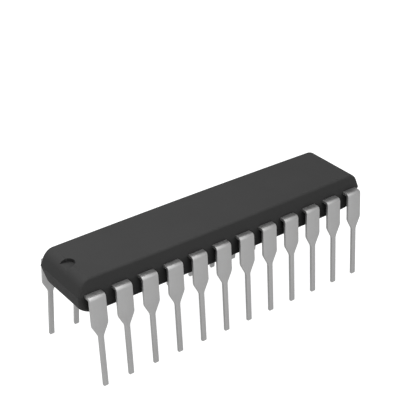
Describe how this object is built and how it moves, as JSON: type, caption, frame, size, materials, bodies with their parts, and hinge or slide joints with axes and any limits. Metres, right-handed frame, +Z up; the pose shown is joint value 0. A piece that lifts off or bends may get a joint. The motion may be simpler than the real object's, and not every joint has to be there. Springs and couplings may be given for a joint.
{
  "type": "dip integrated circuit chip",
  "caption": "Black moulded dual in-line chip with two rows of splayed through-hole leads, a half-moon index notch, and a lead frame, die and bond wires sealed inside.",
  "frame": {"origin": "on the plane of the lead tips, midway between the two rows and midway along them", "axes": "+X along the case away from the index notch, +Y across the rows with lead 1 on the -Y row, +Z up out of the case's upper face"},
  "size_m": [0.0306, 0.009, 0.01],
  "materials": {
    "moulding": "fine spark-eroded matte epoxy",
    "lead_plating": "satin tin plate over copper alloy",
    "bare_frame": "bare rolled copper alloy",
    "die_adhesive": "cured silver-filled adhesive",
    "silicon": "polished silicon",
    "gold_wire": "bright drawn gold"
  },
  "bodies": {
    "root": {"case": "moulding", "die_paddle": "bare_frame", "die_attach": "die_adhesive", "silicon_die": "silicon", "lead_01": "lead_plating", "lead_02": "lead_plating", "lead_03": "lead_plating", "lead_04": "lead_plating", "lead_05": "lead_plating", "lead_06": "lead_plating", "lead_07": "lead_plating", "lead_08": "lead_plating", "lead_09": "lead_plating", "lead_10": "lead_plating", "lead_11": "lead_plating", "lead_12": "lead_plating", "lead_13": "lead_plating", "lead_14": "lead_plating", "lead_15": "lead_plating", "lead_16": "lead_plating", "lead_17": "lead_plating", "lead_18": "lead_plating", "lead_19": "lead_plating", "lead_20": "lead_plating", "lead_21": "lead_plating", "lead_22": "lead_plating", "lead_23": "lead_plating", "lead_24": "lead_plating", "bond_wire_01": "gold_wire", "bond_wire_02": "gold_wire", "bond_wire_03": "gold_wire", "bond_wire_04": "gold_wire", "bond_wire_05": "gold_wire", "bond_wire_06": "gold_wire", "bond_wire_07": "gold_wire", "bond_wire_08": "gold_wire", "bond_wire_09": "gold_wire", "bond_wire_10": "gold_wire", "bond_wire_11": "gold_wire", "bond_wire_12": "gold_wire", "bond_wire_13": "gold_wire", "bond_wire_14": "gold_wire", "bond_wire_15": "gold_wire", "bond_wire_16": "gold_wire", "bond_wire_17": "gold_wire", "bond_wire_18": "gold_wire", "bond_wire_19": "gold_wire", "bond_wire_20": "gold_wire", "bond_wire_21": "gold_wire", "bond_wire_22": "gold_wire", "bond_wire_23": "gold_wire", "bond_wire_24": "gold_wire"}
  },
  "joints": []
}
